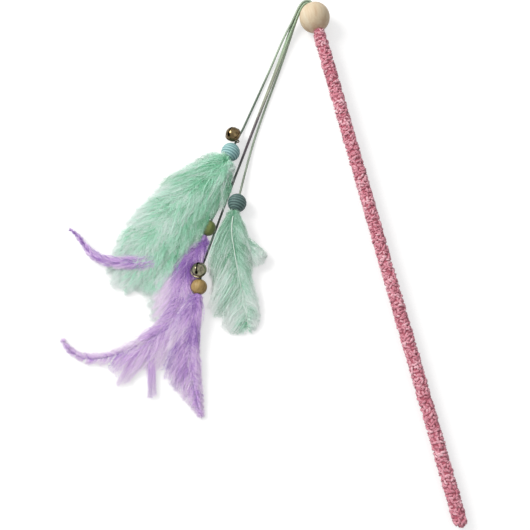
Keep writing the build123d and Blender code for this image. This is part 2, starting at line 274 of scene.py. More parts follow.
def metal_material(name, full, dull_and_painted_reflection, low, high):
    """Metal with dull clouds, partly wear and partly painted dark reflection, its roughness between
    low and high.
    """
    s = Shader(name, Metallic=1.0)
    at = s.place()
    cloud = s.noise(at, 320, 4, 0.6)
    fine = s.noise(at, 2400, 3, 0.7)
    # The dull colour in clouds is partly wear and partly painted dark reflection.
    s.base(s.mix(s.level(cloud, (0.42, 0), (0.64, 0.9)), full, dull_and_painted_reflection))
    s.rough(s.level(s.mix(0.5, cloud, fine), (0.3, low), (0.72, high)))
    s.bump(fine, 0.08, 0.0001)
    return s.material


def cord_material(name, *stops):
    """Waxed cord, its colour changing along its length by (share, colour) stops, which hold its dye
    and, on cords a, c and d, painted shade.
    """
    s = Shader(name, Sheen_Weight=0.2, Sheen_Roughness=0.4, Specular_IOR_Level=0.6)
    at = s.place()
    _, way = s.strand_map()
    blotch = s.noise(at, 90, 3, 0.55)
    fibre = s.noise(at, 3200, 3, 0.6)
    dyed = s.ramp(way, *stops)
    worn = s.mix(s.level(blotch, (0.3, 0.35), (0.7, 0)), dyed, (0.02, 0.02, 0.02, 1))
    s.base(s.mix(s.level(fibre, (0.5, 0), (0.8, 0.3)), worn, (0.03, 0.03, 0.03, 1)))
    s.rough(s.level(fibre, (0.2, 0.3), (0.8, 0.5)))
    s.bump(fibre, 0.3, 0.0001)
    return s.material


def plain_cord_material(name, colour):
    return cord_material(name, (0, colour), (1, colour))


mint = feather_material(
    "mint_plume", srgb(112, 216, 164), srgb(182, 244, 216), srgb(238, 246, 243),
    srgb(72, 174, 120), srgb(244, 249, 248))
mint_pale = feather_material(
    "mint_feather", srgb(134, 206, 168), srgb(200, 240, 222), srgb(240, 246, 244),
    srgb(84, 160, 118), srgb(246, 250, 248))
lilac = feather_material(
    "lilac_feather", srgb(186, 136, 222), srgb(232, 192, 247), srgb(248, 238, 251),
    srgb(130, 80, 182), srgb(252, 246, 254))
mint_quill = quill_material("mint_quill", srgb(214, 232, 220), srgb(176, 220, 198))
white_quill = quill_material("white_quill", srgb(226, 240, 230), srgb(236, 246, 240))
lilac_quill = quill_material("lilac_quill", srgb(132, 98, 172), srgb(160, 126, 198))
# The first and darkest of the plush colours is painted shade down in the pile.
plush = yarn_material(
    "plush_yarn", srgb(184, 104, 120), srgb(198, 118, 134), srgb(219, 150, 164),
    srgb(241, 194, 203))
# The backing's yarn is darker than the loops' yarn: partly the sleeve's own base, partly painted
# shade in the gaps between loops.
backing_yarn_and_painted_shade = yarn_material(
    "plush_backing", srgb(166, 82, 100), srgb(172, 88, 106), srgb(178, 96, 112),
    srgb(186, 104, 120))
ball_wood = wood_material(
    "ball_wood", srgb(220, 207, 182), srgb(213, 194, 164), srgb(194, 162, 130), tipward, 160, 0.5)
dowel_wood = wood_material(
    "dowel_wood", srgb(226, 204, 168), srgb(214, 186, 146), srgb(186, 152, 110), tipward, 220, 0.6)
mustard_c = wood_material(
    "mustard_bead_c", srgb(126, 138, 76), srgb(100, 114, 60), srgb(68, 78, 40),
    axes["c"], 380, 0.42)
mustard_d = wood_material(
    "mustard_bead_d", srgb(196, 168, 112), srgb(166, 138, 86), srgb(116, 92, 52),
    axes["d"], 380, 0.42)
# The first colour of each ribbed bead is painted shade for its grooves.
pale_blue = painted_rib_material(
    "pale_blue_paint", "a", srgb(100, 142, 144), srgb(148, 192, 192), srgb(166, 206, 206),
    srgb(206, 230, 228))
teal = painted_rib_material(
    "teal_paint", "b", srgb(54, 76, 74), srgb(88, 118, 114), srgb(102, 132, 128),
    srgb(136, 162, 156))
# Each metal's second colour fills its dull clouds; on the bells these are partly wear and partly
# painted dark reflection.
brass = metal_material("bell_brass", (0.21, 0.15, 0.074, 1), (0.04, 0.027, 0.012, 1), 0.06, 0.18)
pale_brass = metal_material(
    "bell_pale_brass", (0.3, 0.28, 0.19, 1), (0.06, 0.055, 0.035, 1), 0.06, 0.18)
steel = metal_material(
    "pellet_steel", (0.45, 0.44, 0.43, 1), (0.3, 0.29, 0.28, 1), 0.25, 0.45)
sage = srgb(172, 190, 166)
olive_grey = srgb(162, 168, 146)
# Plum grey is painted shade with a painted purple reflection, moss grey is painted shade; the own
# colours of cords c and d are the leaf and olive greys.
plum_painted_shade = srgb(84, 70, 80)
moss_painted_shade = srgb(66, 82, 70)
leaf_grey = srgb(160, 186, 152)
# Fern grey is painted shade: cord a's sage darkens to it towards the bell and along the cord's end.
fern_painted_shade = srgb(92, 114, 94)
sage_cord_a_painted_shade = cord_material("sage_cord_a_painted_shade", (0, sage), (0.56, sage), (0.76, fern_painted_shade))
cord_a_end_painted_shade = plain_cord_material("sage_cord_a_end_painted_shade", fern_painted_shade)
sage_cord = cord_material("sage_cord", (0, sage), (0.7, sage), (1.0, srgb(142, 156, 138)))
# Cords c and d: leaf and olive grey from the ball, then painted shade in plum and moss towards the
# pendants.
plum_cord = cord_material("plum_cord", (0, leaf_grey), (0.2, leaf_grey), (0.34, olive_grey),
                          (0.46, olive_grey), (0.56, plum_painted_shade), (0.68, plum_painted_shade),
                          (0.8, moss_painted_shade))
cord_cd_end_painted_shade = plain_cord_material("sage_cord_cd_end_painted_shade", moss_painted_shade)
cord_colours = {"a": (sage_cord_a_painted_shade, cord_a_end_painted_shade), "b": (sage_cord, sage_cord),
                "c": (plum_cord, cord_cd_end_painted_shade), "d": (plum_cord, cord_cd_end_painted_shade)}
mint_thread = plain_cord_material("mint_thread", srgb(150, 206, 178))
lilac_thread = plain_cord_material("lilac_thread", srgb(190, 152, 220))


# Objects and meshes
def placed(name, data):
    """A new object in the scene."""
    made = bpy.data.objects.new(name, data)
    bpy.context.scene.collection.objects.link(made)
    return made


def aimed(made, place, target):
    """Puts a camera or a lamp at a place, looking at a target."""
    made.location = place
    made.rotation_mode = "QUATERNION"
    made.rotation_quaternion = (Vector(target) - Vector(place)).to_track_quat("-Z", "Y")


def piece(name, parts, materials, body=None, stands_for=()):
    """One object from (points, faces, maps, material index) parts, riding on a CAD body."""
    points = np.concatenate([part[0].reshape(-1, 3) for part in parts])
    maps = np.concatenate([part[2] for part in parts])
    corners, counts, kinds, start = [], [], [], 0
    for part_points, faces, _, kind in parts:
        for block in faces:
            block = block.reshape(-1, block.shape[-1])
            corners.append((block + start).ravel())
            counts.append(np.full(len(block), block.shape[1]))
            kinds.append(np.full(len(block), kind))
        start += part_points.size // 3
    corners = np.concatenate(corners)
    counts = np.concatenate(counts)
    mesh = bpy.data.meshes.new(name)
    mesh.vertices.add(len(points))
    mesh.vertices.foreach_set("co", (points * M).astype(np.float32).ravel())
    mesh.loops.add(len(corners))
    mesh.loops.foreach_set("vertex_index", corners.astype(np.int32))
    mesh.polygons.add(len(counts))
    starts = np.concatenate([[0], np.cumsum(counts)[:-1]])
    mesh.polygons.foreach_set("loop_start", starts.astype(np.int32))
    mesh.polygons.foreach_set("material_index", np.concatenate(kinds).astype(np.int32))
    mesh.update(calc_edges=True)
    mesh.polygons.foreach_set("use_smooth", np.ones(len(counts), bool))
    layer = mesh.uv_layers.new(name=UV)
    layer.data.foreach_set("uv", maps[corners].astype(np.float32).ravel())
    for material in materials:
        mesh.materials.append(material)
    mesh.validate()
    made = placed(name, mesh)
    if body:
        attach(made, body)
    if stands_for:
        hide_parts(*stands_for)
    return made


def mapped(u, v):
    """One map spot for each point."""
    return np.stack(np.broadcast_arrays(u, v), -1).reshape(-1, 2)


def ring_faces(steps, sides):
    """Quads between rings of points that follow one another."""
    row = (np.arange(steps - 1) * sides)[:, None]
    side = np.arange(sides)
    after = (side + 1) % sides
    quads = np.stack([row + side, row + after, row + sides + after, row + sides + side], -1)
    return quads.reshape(-1, 4)


def crosswise(paths):
    """The sideways and upward directions along (count, steps, 3) lines."""
    tangent = unit(np.gradient(paths, axis=1))
    across = np.cross(tangent, UP)
    upright = np.linalg.norm(across, axis=-1) < 1e-3
    across[upright] = [1, 0, 0]
    across = unit(across)
    return across, np.cross(across, tangent)


def strands(paths, radii, shades, sides, kind=0):
    """Tapered tubes along (count, steps, 3) lines, mapped by shade and by share of the way."""
    count, steps, _ = paths.shape
    across, above = crosswise(paths)
    angle = TURN * (np.arange(sides) + 0.25) / sides
    ring = swept(angle, across[:, :, None], above[:, :, None])
    points = paths[:, :, None] + radii[:, :, None, None] * ring
    quads = (np.arange(count) * steps * sides)[:, None, None] + ring_faces(steps, sides)
    wide = 0.006 * (np.arange(sides) / sides - 0.5)
    maps = mapped(np.clip(shades, 0.02, 0.98)[:, None, None] + wide,
                  np.linspace(0.01, 0.99, steps)[:, None])
    return points, [quads], maps, kind


def ribbons(paths, radii, shades, twists):
    """Flat blades along (count, steps, 3) lines, each rolled by its twist."""
    count, steps, _ = paths.shape
    across, above = crosswise(paths)
    edge = radii[:, :, None] * swept(twists[:, None], across, above)
    points = np.stack([paths - edge, paths + edge], 2)
    first = (np.arange(count) * steps * 2)[:, None] + np.arange(steps - 1) * 2
    quads = np.stack([first, first + 1, first + 3, first + 2], -1)
    maps = mapped(np.clip(shades, 0.02, 0.98)[:, None, None] + [-0.003, 0.003],
                  np.linspace(0.01, 0.99, steps)[:, None])
    return points, [quads], maps, 0


def hairs(roots, ways, lengths, width, shades, starts):
    """Single fine blades from their roots along their ways."""
    side = unit(np.cross(ways, UP + 0.3 * np.roll(ways, 1, axis=-1))) * (width / 2)
    points = np.stack([roots - side, roots + side, roots + ways * lengths[:, None]], 1)
    faces = np.arange(len(roots) * 3).reshape(-1, 3)
    maps = mapped(np.clip(shades, 0.02, 0.98)[:, None] + [-0.003, 0.003, 0],
                  np.clip(starts, 0.01, 0.9)[:, None] + [0, 0, 0.08])
    return points, [faces], maps, 0


def revolve_line(line, centre, axis, turns):
    """A (reach, radius) line turned round an axis."""
    side = unit(np.cross(axis, UP))
    above = np.cross(side, axis)
    angle = TURN * np.arange(turns) / turns
    ring = swept(angle, side, above)
    points = centre + line[:, None, :1] * axis + line[:, None, 1:] * ring
    maps = mapped(0.5 + 0.003 * np.cos(angle), np.linspace(0.3, 0.7, len(line))[:, None])
    return points, [ring_faces(len(line), turns)], maps, 0


# Camera at the photograph's angle, placed from the ball
eye_from_ball = (-96.9, -248.8, 469.5)
aim_from_ball = (-72.4, -152.1, 0)
camera_data = bpy.data.cameras.new("camera")
camera_data.lens = 51.8
camera_data.clip_start = 0.01
camera = placed("camera", camera_data)
aimed(camera, *[(ball * [1, 1, 0] + off) * M for off in (eye_from_ball, aim_from_ball)])
bpy.context.scene.camera = camera


# Cords, by their places from the ball hole's mouth
cord_r, pitch = 0.75, 1.8
plies, ply_turn = 3, 2.6
lie = cord_r + 0.05
end_past_bead = 0.2
# Heights: shares of the mouth's height in the fold, layers of cord in the runs
fold_route = [(0, -3.2, 1), (0, 0.7, 1), (-2.2, 2.1, 0.99), (-5.2, 1.7, 0.9),
              (-8.7, -1.4, 0.72), (-12.5, -6.2, 0.48)]
runs = {
    "a": [(-22.6, -15.5, 1.1), (-38.9, -37.8, 0)],
    "b": [(-18.3, -17, 0.6), (-31.5, -38, 0), (-49.7, -65.2, 0), (-64.2, -88.8, 0.2)],
    "c": [(-19.3, -16.7, 1.7), (-32.5, -37.4, 1.1), (-56.2, -71.3, 1.1), (-80, -106.9, 1.2),
          (-91.5, -118.4, 2)],
    "d": [(-20.2, -16.2, 0.6), (-33.5, -36.6, 0), (-56.5, -70.6, 0), (-80, -106.2, 0)],
}
half_pitch = pitch / 2
bundle_spots = {"a": (-half_pitch, half_pitch), "b": (half_pitch, -half_pitch),
                "c": (half_pitch, half_pitch), "d": (-half_pitch, -half_pitch)}


def leftward(step):
    return unit([-step[1], step[0], 0])


def beside(route, left, up):
    """A route moved to its left and up, with mitred corners."""
    moved = []
    for i, point in enumerate(route):
        before = point - route[i - 1] if i else route[1] - point
        after = route[i + 1] - point if i + 1 < len(route) else before
        mitre = unit(leftward(before) + leftward(after))
        moved.append(point + mitre * (left / (mitre @ leftward(before))) + UP * up)
    return moved


def spline_points(name, points):
    """Points read from the route's smooth spline, in millimetres."""
    curve = bpy.data.curves.new(name, "CURVE")
    curve.dimensions = "3D"
    curve.resolution_u = 64
    spline = curve.splines.new("NURBS")
    spline.points.add(len(points) - 1)
    for control, point in zip(spline.points, points):
        control.co = (*(np.array(point) * M), 1.0)
    spline.order_u = 3
    spline.use_endpoint_u = True
    holder = placed(name, curve)
    bpy.context.view_layer.update()
    read = bpy.data.meshes.new_from_object(holder)
    line = np.array([v.co for v in read.vertices], float) / M
    bpy.data.meshes.remove(read)
    bpy.data.objects.remove(holder)
    bpy.data.curves.remove(curve)
    return line


def laid_cord(line, radius, strand_count, turn, sides=14):
    """A twisted cord round a line, with rounded ends: its points, faces and maps."""
    run = np.concatenate([[0], np.cumsum(np.linalg.norm(np.diff(line, axis=0), axis=1))])
    tangent = unit(np.gradient(line, axis=0))
    across = unit(np.cross(tangent[0], UP))
    carried = []
    for ahead in tangent:
        across = unit(across - ahead * (across @ ahead))
        carried.append(across)
    across = np.array(carried)
    above = np.cross(tangent, across)
    angle = TURN * np.arange(sides) / sides
    lay = strand_count * (angle - TURN * run[:, None] / (turn * strand_count))
    swell = radius * (0.95 + 0.05 * np.cos(lay))
    around = swept(angle, across[:, None], above[:, None])
    body = line[:, None] + swell[:, :, None] * around
    caps = [np.array([line[end] + tangent[end] * (sign * radius * math.sin(a))
                      + swell[end][:, None] * around[end] * math.cos(a) for a in (0.5, 1.0, 1.4)])
            for end, sign in ((0, -1), (-1, 1))]
    rings = np.concatenate([caps[0][::-1], body, caps[1]])
    steps = len(rings)
    ends = np.array([np.arange(sides)[::-1], (steps - 1) * sides + np.arange(sides)])
    share = np.concatenate([np.zeros(3), run / run[-1], np.ones(3)])
    maps = mapped(np.linspace(0.05, 0.95, sides), share[:, None])
    return rings, [ring_faces(steps, sides), ends], maps, 0


fold = [below_mouth + [x, y, lie + height * (mouth[2] - lie)]
        for x, y, height in fold_route]
for key, run in runs.items():
    strand = beside(fold, *bundle_spots[key])
    route = strand + [below_mouth + [x, y, lie + layer * pitch]
                      for x, y, layer in run] + [pivots[key]]
    line = spline_points("route_" + key, route)
    colour, end_colour = cord_colours[key]
    cord = piece("cord_strand_" + key, [laid_cord(line, cord_r, plies, ply_turn)], [colour],
                 stands_for=["cord_neck_" + key, "cord_" + key])
    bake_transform(cord)
    tail_end = beads[key] + axes[key] * (bead_r[key] + end_past_bead)
    tail = np.linspace(0, 1, 60)[:, None] * (tail_end - pivots[key]) + pivots[key]
    end = piece("cord_end_" + key, [laid_cord(tail, cord_r, plies, ply_turn)], [end_colour],
                "pendant_" + key, ["cord_tail_" + key])

# Thread wound over the quills' feet, under each bead
thread_r, thread_plies, thread_turn = 0.2, 2, 0.9
windings = 12
for key in "abcd":
    start = bead_face(key) + 0.2
    wound = np.linspace(0, 1, 340)
    angle = TURN * windings * wound
    radius = 1.3 + 0.36 * np.sin(np.pi * wound)
    left = leftward(axes[key])
    over = np.cross(axes[key], left)
    coil = (beads[key] + (start + 0.2 + 3.6 * wound)[:, None] * axes[key]
            + radius[:, None] * swept(angle, left, over))
    core = np.array([(start, 0.05), (start + 0.05, 1.2), (start + 2, 1.55), (start + 3.95, 1.2),
                     (start + 4, 0.05)])
    piece("thread_binding_" + key,
          [laid_cord(coil, thread_r, thread_plies, thread_turn, sides=6),
           revolve_line(core, beads[key], axes[key], 16)],
          [mint_thread if key in "ab" else lilac_thread], "pendant_" + key,
          ["binding_" + key])

# Plush sleeve: a backing tube under thousands of small yarn loops
rng = np.random.default_rng(11)
sleeve_top, butt = 9.75, 328.05
straight = butt - sleeve_top
backing_r = 3.2
loop_rows_apart, loops_round, loop_steps, loop_sides = 1.8, 11, 8, 6
fuzz_count, fuzz_width = 26000, 0.09


def neck(run):
    """How much smaller the loops are where the sleeve meets the ball."""
    return 1 - 0.6 * np.exp(-run / 3.0)


def sleeve_point(run, turn, radius):
    """Points, outward and lengthwise directions on the sleeve, run from its neck."""
    side = [1, 0, 0]
    over = np.cross(side, tipward)
    round_way = swept(turn, side, over)
    bend = np.clip((run - straight) / radius, 0, np.pi / 2 - 0.02)
    along = np.minimum(run, straight)
    out = swept(bend, round_way, -tipward)
    length_way = swept(bend, -tipward, -round_way)
    centre = ball - (sleeve_top + along)[:, None] * tipward
    return centre + out * radius, out, length_way


def sleeve_loops():
    """The loops' lines, their radii, shades and outward ways, row by row down the sleeve."""
    runs_at, turns_at = [], []
    end = straight + backing_r * np.pi / 2
    for row in np.arange(1.4, end, loop_rows_apart):
        bend = max(row - straight, 0) / backing_r
        count = max(3, round(loops_round * math.cos(min(bend, 1.5))))
        runs_at.append(row + rng.uniform(-1.0, 1.0, count))
        turns_at.append((np.arange(count) + rng.uniform(-0.45, 0.45, count)
                         + rng.uniform(0, 1)) * TURN / count)
    run = np.clip(np.concatenate(runs_at), 0.2, end)
    turn = np.concatenate(turns_at)
    count = len(run)
    point, out, length_way = sleeve_point(run, turn, backing_r)
    across = np.cross(out, length_way)
    yaw = rng.normal(1.2, 0.7, count)
    ahead = swept(yaw, length_way, across)
    beside_way = np.cross(out, ahead)
    swell = np.sin(run * 0.83 + 2.2 * np.sin(turn)) + np.sin(run * 0.37 + 1.7 * np.cos(turn))
    slim = neck(run)
    reach = rng.uniform(0.8, 1.4, count)
    height = slim * np.clip(rng.uniform(0.5, 0.95, count) + 0.12 * swell, 0.3, 1.15)
    curl = rng.normal(0, 0.5, count)
    angle = np.linspace(0, np.pi, loop_steps)
    lines = (point[:, None]
             - (reach[:, None] * np.cos(angle))[:, :, None] * ahead[:, None]
             + (height[:, None] * np.sin(angle) - 0.3)[:, :, None] * out[:, None]
             + (curl[:, None] * np.sin(2 * angle))[:, :, None] * beside_way[:, None])
    thick = slim * rng.uniform(0.6, 0.86, count)
    radii = thick[:, None] * (0.65 + 0.35 * np.sin(angle))
    lines[:, :, 2] = np.maximum(lines[:, :, 2], 0.12 + radii)
    patch = 0.12 * np.sin(run * 0.47 + 2 * np.sin(turn)) + 0.1 * np.sin(run * 0.113 + 1.3)
    # The swell term makes loops that stand higher paler: painted light on the raised bumps.
    shades = 0.5 + patch + 0.07 * swell + rng.normal(0, 0.22, count)
    return lines, radii, shades, out


lines, radii, shades, outward = sleeve_loops()
fuzz = rng.integers(0, len(lines), fuzz_count)
step = rng.integers(1, loop_steps - 1, fuzz_count)
fuzz_way = unit(outward[fuzz] + rng.normal(0, 0.7, (fuzz_count, 3)))
fuzz_root = lines[fuzz, step] + outward[fuzz] * 0.4
fuzz_way[:, 2] = np.where(fuzz_root[:, 2] < 1.2, np.abs(fuzz_way[:, 2]), fuzz_way[:, 2])
piece("plush_loops",
      [strands(lines, radii, shades, loop_sides),
       hairs(fuzz_root, fuzz_way, rng.uniform(0.5, 1.2, fuzz_count), fuzz_width, shades[fuzz],
             np.full(fuzz_count, 0.42))],
      [plush], "wand", ["plush_sleeve"])
profile_run = np.concatenate([np.linspace(-0.4, straight, 160),
                              straight + np.linspace(0.05, 1.0, 10) * backing_r * np.pi / 2])
bend = np.clip((profile_run - straight) / backing_r, 0, np.pi / 2)
backing_line = np.stack([-(sleeve_top + np.minimum(profile_run, straight)
                           + backing_r * np.sin(bend)),
                         np.maximum(backing_r * np.cos(bend), 0.05)], -1)
backing_line = np.concatenate([[[backing_line[0, 0], 2.0]], backing_line])
# The backing shows in the gaps between loops with its darker yarn, which is partly painted shade.
piece("plush_backing", [revolve_line(backing_line, ball, tipward, 28)], [backing_yarn_and_painted_shade],
      "wand")


# Feathers. Each pendant's drooping plane is given by the heading and the angle of its slope.
ALONG = np.linspace(0, 1, 10)
droops = {"a": (-12.5, 1.4), "b": (22.4, 6.2), "c": (-28.6, 2.3), "d": (11.2, 4.9)}
quill_layer, quill_start, quill_steps, quill_sides = 1.2, 4.6, 60, 8
floor_gap, quill_floor_gap, down_floor_gap = 0.3, 0.6, 0.15
down_width = 0.075
inner_share, barb_foot = 0.35, 4.0

# How one kind of feather grows, in millimetres, degrees and shares of the quill
Style = namedtuple("Style", "colours lean flare loose waves puff clump pinch width down down_length"
                            " quill quill_at fluff fluff_to fades")


class Quill:
    """A feather's curve on its pendant, lying in the pendant's drooping plane."""

    def __init__(self, key, layer, splay, length, bends, sink, rise):
        raised = np.cross(axes[key], leftward(axes[key]))
        heading = math.atan2(axes[key][1], axes[key][0])
        slope = heading + math.radians(droops[key][0])
        tilt = math.radians(droops[key][1])
        normal = np.array([math.sin(tilt) * math.cos(slope), math.sin(tilt) * math.sin(slope),
                           math.cos(tilt)])
        turned = heading + math.radians(splay)
        ahead = np.array([math.cos(turned), math.sin(turned), 0.0])
        self.root = (beads[key] + axes[key] * (bead_face(key) + quill_start)
                     + raised * (layer * quill_layer))
        self.ahead = unit(ahead - normal * (ahead @ normal))
        self.aside = np.cross(normal, self.ahead)
        self.length, self.bends, self.sink, self.rise = length, bends, sink, rise

    def follow(self, share):
        """Points and leftward directions on the curve, in the feather's own plane."""
        share = np.asarray(share, float)
        left = np.clip(share, 0, 1)
        heading = np.zeros_like(share)
        x = np.zeros_like(share)
        y = np.zeros_like(share)
        for part, turn in self.bends:
            run = np.clip(left, 0, part) * self.length
            angle = math.radians(turn) * run / (part * self.length)
            chord = run * np.sinc(angle / 2 / np.pi)
            x += chord * np.cos(heading + angle / 2)
            y += chord * np.sin(heading + angle / 2)
            heading += angle
            left = left - part
        beyond = (share - np.clip(share, 0, 1)) * self.length
        x += beyond * np.cos(heading)
        y += beyond * np.sin(heading)
        return np.stack([x, y], -1), np.stack([-np.sin(heading), np.cos(heading)], -1)

    def off(self, share, reach):
        """Points at a reach to the left of the curve."""
        spot, left = self.follow(share)
        return spot + left * reach[:, None]

    def lift(self, flat, share, out):
        """Points of the plane in space, raised by out and sunk by the feather's own table."""
        up = out + self.rise - table(self.sink, share)
        return (self.root + flat[..., :1] * self.ahead + flat[..., 1:] * self.aside
                + up[..., None] * UP)


def table(entries, share):
    return np.interp(share, *zip(*entries))


def past_balls(points, over, under, gap=0.6):
    """Moves points that would lie in a ball onto its upper side, or onto its lower one."""
    for balls, side in ((over, 1.0), (under, -1.0)):
        for centre, radius in balls:
            away = points - centre
            flat = np.linalg.norm(away[..., :2], axis=-1)
            reach = np.sqrt(np.maximum((radius + gap) ** 2 - flat**2, 0))
            inside = np.abs(away[..., 2]) < reach
            points[..., 2] = np.where(inside, centre[2] + side * reach, points[..., 2])
    return points


def leftward_flat(start, end):
    """The directions to the left of flat lines from start to end."""
    return unit(end - start)[:, ::-1] * [-1, 1]


def curled(rng, style, start, pull, end, phase):
    """Lines from start to end, drawn towards pull, waving more towards their ends."""
    t = ALONG[:, None]
    flat = (1 - t) ** 2 * start[:, None] + 2 * t * (1 - t) * pull[:, None] + t**2 * end[:, None]
    sway = np.sin(phase[:, None] + ALONG * TURN * style.waves) * ALONG
    sway *= style.loose * rng.uniform(0.3, 1.0, (len(start), 1))
    return flat + sway[:, :, None] * leftward_flat(start, end)[:, None]


def dye_change(along, across):
    """A slow change of dye over a feather, by millimetres along and across it."""
    return (0.13 * np.sin(along / 3.7 + 1.6 * np.sin(across / 4.3))
            + 0.08 * np.sin(across / 2.1 - along / 7.0))


def vane_barbs(quill, rng, style, side, profile, total):
    """The barbs on one side of a quill, in clumps, out to the profile's half widths."""
    first, last = profile[0][0], profile[-1][0]
    edges = [first]
    while edges[-1] < last:
        edges.append(edges[-1] + style.clump * rng.uniform(0.5, 1.6))
    edges = np.array(edges)
    grid = np.linspace(first, last, 300)
    weight = np.cumsum(table(profile, grid) + 4.0)
    at = np.interp(rng.uniform(weight[0], weight[-1], total), weight, grid)
    group = np.clip(np.searchsorted(edges, at) - 1, 0, len(edges) - 2)
    centre = (edges[group] + edges[group + 1]) / 2
    span = (edges[group + 1] - edges[group]) / 2
    within = (at - centre) / span
    tip_at = centre + within * span * (1 - style.pinch)
    size = rng.uniform(0.9, 1.05, len(edges))[group] * (1 - 0.1 * within**2)
    size *= 1.04 - 0.28 * rng.random(total) ** 1.4
    size *= np.where(rng.random(total) < inner_share, rng.uniform(0.3, 0.85, total), 1.0)
    tall = table(profile, tip_at) * size
    base_at = np.minimum(tip_at - table(style.lean, tip_at) * tall / quill.length, 0.985)
    base_at = np.maximum(base_at + rng.normal(0, 0.006, total),
                         rng.uniform(-barb_foot / quill.length, 0.03, total))
    start = quill.off(base_at, np.zeros(total))
    end = quill.off(tip_at, side * tall)
    chord = np.linalg.norm(end - start, axis=1)[:, None]
    straight_way = (end - start) / np.maximum(chord, 1e-6)
    outside = straight_way[:, ::-1] * [-side, side]
    leave = swept(np.radians(rng.normal(style.flare, 6, total)), straight_way, outside)
    pull = start + leave * chord * rng.uniform(0.4, 0.62, (total, 1))
    phase = rng.uniform(0, TURN, len(edges))[group] + rng.normal(0, 0.6, total)
    flat = curled(rng, style, start, pull, end, phase)
    out = rng.normal(0.25, 0.6, (total, 1)) * np.sin(np.pi * ALONG**0.8)
    out = style.puff * (out + rng.normal(0, 0.35, (total, 1)) * ALONG)
    here = base_at[:, None] * (1 - ALONG) + tip_at[:, None] * ALONG
    broad = np.clip(table(profile, tip_at) / 8.0 - 0.25, 0.0, 1.0)
    tones = broad * rng.normal(0, 0.2, len(edges))[group] + rng.normal(0, 0.17, total)
    tones += broad * dye_change(tip_at * quill.length, side * tall) + table(style.fades, tip_at)
    return quill.lift(flat, here, out), style.width * rng.uniform(0.6, 1.3, total), 0.5 + tones


def loose_barbs(quill, rng, style, left, right):
    """Loose barbs over the vane, running down the feather within its outline."""
    total = style.fluff
    at = rng.uniform(-barb_foot / quill.length, style.fluff_to, total)
    off = rng.uniform(-0.6, 0.6, total)
    off *= np.where(off > 0, table(left, at), table(right, at))
    swing = rng.normal(0, 0.45, total) + 0.04 * off
    long = rng.uniform(7, 20, total)
    far_at = np.minimum(at + long * np.cos(swing) / quill.length, left[-1][0] - 0.02)
    far = off + long * np.sin(swing)
    far = np.clip(far, -0.95 * table(right, far_at), 0.95 * table(left, far_at))
    start = quill.off(at, off)
    end = quill.off(far_at, far)
    across = leftward_flat(start, end)
    pull = (start + end) / 2 + across * rng.normal(0, 0.16, (total, 1)) * long[:, None]
    flat = curled(rng, style, start, pull, end, rng.uniform(0, TURN, total))
    out = style.puff * rng.uniform(0.5, 1.5, (total, 1)) * np.sin(np.pi * (0.15 + 0.8 * ALONG))
    here = at[:, None] * (1 - ALONG) + far_at[:, None] * ALONG
    tones = rng.normal(0.02, 0.2, total) + 1.6 * dye_change(at * quill.length, off)
    tones += table(style.fades, at)
    return quill.lift(flat, here, out), style.width * rng.uniform(0.5, 1.0, total), 0.5 + tones


def lock_barbs(quill, rng, style, base, tip, far, breadth, total, tone):
    """A lock of barbs that leaves the quill at base and ends at a reach beside tip."""
    start = quill.off(base + rng.uniform(-0.03, 0.03, total), np.zeros(total))
    end = quill.off(tip + rng.uniform(-breadth, breadth, total) / quill.length,
                    far + rng.normal(0, 0.25 * breadth, total))
    pull = start * 0.45 + end * 0.55 + rng.normal(0, 0.2 * breadth, (total, 2))
    flat = curled(rng, style, start, pull, end, rng.uniform(0, TURN, total))
    out = style.puff * rng.normal(0.1, 0.3, (total, 1)) * np.sin(np.pi * ALONG)
    here = base * (1 - ALONG) + tip * ALONG + np.zeros((total, 1))
    tones = 0.5 + tone + rng.normal(0, 0.16, total)
    return quill.lift(flat, here, out), style.width * rng.uniform(0.7, 1.2, total), tones


def down_hairs(rng, paths, tones, number, length, balls):
    """Fine down along barbs, forked to both sides, thickest towards their tips."""
    total, steps = paths.shape[:2]
    shape = (total, number)
    way_share = 1.0 - 0.94 * rng.random(shape) ** 1.3
    spot = way_share * (steps - 1.001)
    index = spot.astype(int)
    part = (spot - index)[:, :, None]
    row = np.arange(total)[:, None]
    origin = paths[row, index] * (1 - part) + paths[row, index + 1] * part
    along = unit(paths[row, index + 1] - paths[row, index])
    cross = unit(np.cross(along, UP))
    fork = np.radians(rng.uniform(20, 70, shape))
    hand = rng.choice([-1.0, 1.0], shape)[:, :, None]
    ways = swept(fork, along, hand * cross)
    ways = unit(ways + UP * rng.normal(0.04, 0.3, shape)[:, :, None]).reshape(-1, 3)
    long = (length * rng.uniform(0.5, 1.3, shape)).ravel()
    origin = origin.reshape(-1, 3)
    for centre, radius in balls:
        close = np.linalg.norm(origin + ways * long[:, None] - centre, axis=1) < radius + 0.1
        ways[close] = unit(origin[close] - centre)
    low = origin[:, 2] + ways[:, 2] * long < down_floor_gap
    ways[low, 2] = np.abs(ways[low, 2])
    tone = np.repeat(tones, number) + rng.normal(0.04, 0.09, total * number)
    return hairs(origin, ways, long, down_width, tone, way_share.ravel())


